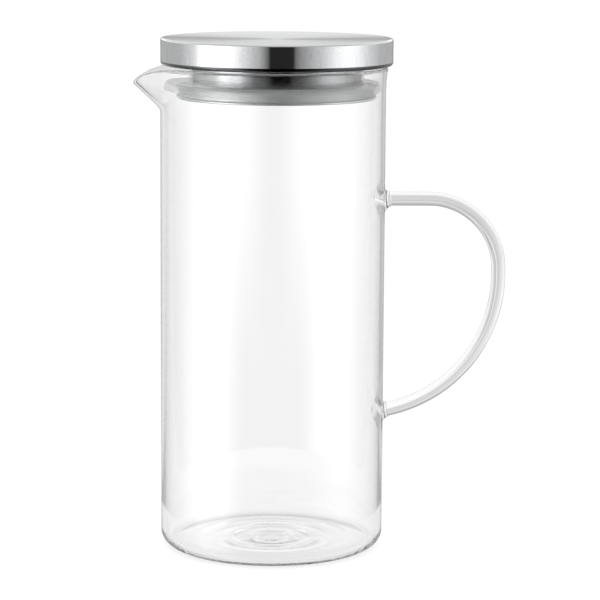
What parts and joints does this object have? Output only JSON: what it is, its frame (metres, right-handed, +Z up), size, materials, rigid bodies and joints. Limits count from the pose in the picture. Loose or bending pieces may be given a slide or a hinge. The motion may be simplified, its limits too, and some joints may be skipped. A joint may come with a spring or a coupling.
{
  "type": "glass pitcher",
  "caption": "Straight glass jug with a pinched spout, a bent glass rod handle and a brushed steel lid that drops into the mouth on a silicone ring.",
  "frame": {"origin": "middle of the flat underside of the glass, on the axis of the tube", "axes": "+Z up the axis of the tube, -X towards the spout, +X towards the handle, -Y towards the viewer of the picture"},
  "size_m": [0.1659, 0.103, 0.2279],
  "materials": {
    "jug_glass": "clear borosilicate glass, fire polished",
    "rod_glass": "clear borosilicate glass rod",
    "cap_steel": "brushed round the side, spun on top",
    "base_steel": "satin pressed steel",
    "collar_steel": "brushed round the collar",
    "pan_steel": "satin pressed steel with a rolled edge",
    "ring_silicone": "translucent milky silicone"
  },
  "bodies": {
    "pitcher": {"glass_body": "jug_glass", "handle": "rod_glass"},
    "seal": {"gasket": "ring_silicone"},
    "lid": {"cap_shell": "cap_steel", "cap_base": "base_steel", "collar": "collar_steel", "lid_pan": "pan_steel"}
  },
  "joints": [
    {"name": "lid_lift", "type": "slide", "parent": "pitcher", "child": "seal", "axis": [0, 0, 1], "range_m": [0, 0.05]},
    {"name": "lid_turn", "type": "hinge", "parent": "seal", "child": "lid", "pos_m": [0.0016, 0, 0.204], "axis": [0, 0, 1], "continuous": true}
  ]
}
